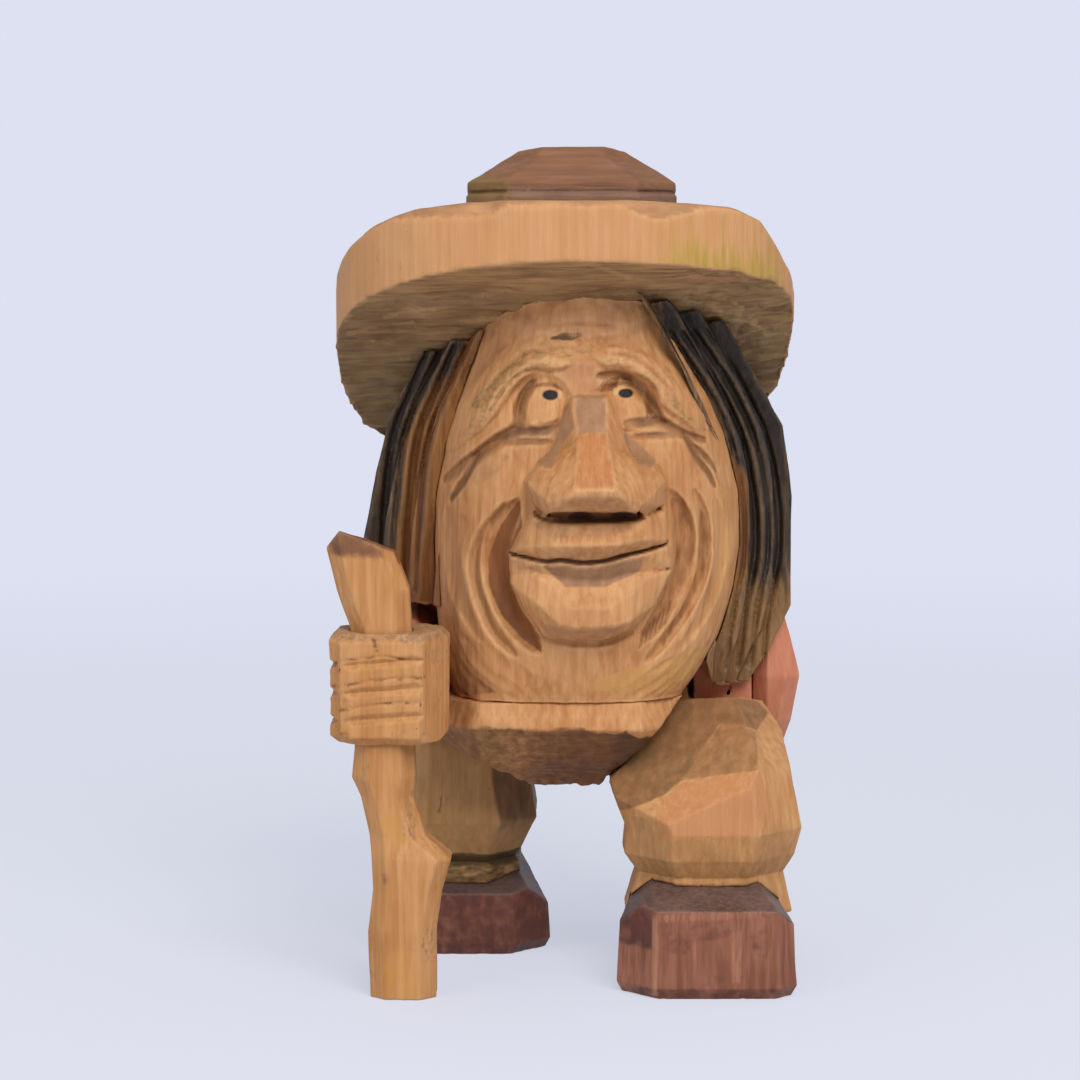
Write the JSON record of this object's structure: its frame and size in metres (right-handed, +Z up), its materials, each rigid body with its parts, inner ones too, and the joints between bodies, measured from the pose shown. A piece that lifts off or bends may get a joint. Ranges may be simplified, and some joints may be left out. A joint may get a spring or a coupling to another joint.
{
  "type": "carved wooden troll figure",
  "caption": "Hand-carved wooden folk troll with a big smiling head, drooping broad-brimmed hat and crooked staff, standing on its shoes and staff as a shelf ornament.",
  "frame": {"origin": "on the table, under the middle of the figure's outline", "axes": "+Z up along the figure's height; the face looks along -Y; the figure's left hand is at +X"},
  "size_m": [0.0856, 0.0786, 0.15],
  "materials": {
    "stained_hat_wood": "matt brown wash over knife facets",
    "bare_wood": "bare wood with a thin wax",
    "face_wood": "bare wood, warm wash, thin wax",
    "black_hair_wash": "thin black paint over gouged wood",
    "red_jacket_wash": "thin red paint over knife facets",
    "olive_trouser_wash": "thin olive wash over knife facets",
    "red_brown_shoe_wash": "dark red-brown paint worn at the edges",
    "dowel_wood": "plain round dowel"
  },
  "bodies": {
    "root": {"hat_crown": "stained_hat_wood", "hat_brim": "bare_wood", "head": "face_wood", "hips": "face_wood", "hair_right": "black_hair_wash", "hair_left": "black_hair_wash", "hair_back": "black_hair_wash", "jacket": "red_jacket_wash", "sleeve_right": "red_jacket_wash", "sleeve_left": "red_jacket_wash", "fist_right": "bare_wood", "staff": "bare_wood", "leg_left": "olive_trouser_wash", "leg_right": "olive_trouser_wash", "shoe_left": "red_brown_shoe_wash", "shoe_right": "red_brown_shoe_wash", "dowel_hat": "dowel_wood", "dowel_neck": "dowel_wood", "dowel_hip_left": "dowel_wood", "dowel_hip_right": "dowel_wood", "dowel_ankle_left": "dowel_wood", "dowel_ankle_right": "dowel_wood", "dowel_wrist": "dowel_wood", "dowel_shoulder_right": "dowel_wood", "dowel_shoulder_left": "dowel_wood", "dowel_back": "dowel_wood", "dowel_hair": "dowel_wood"}
  },
  "joints": []
}
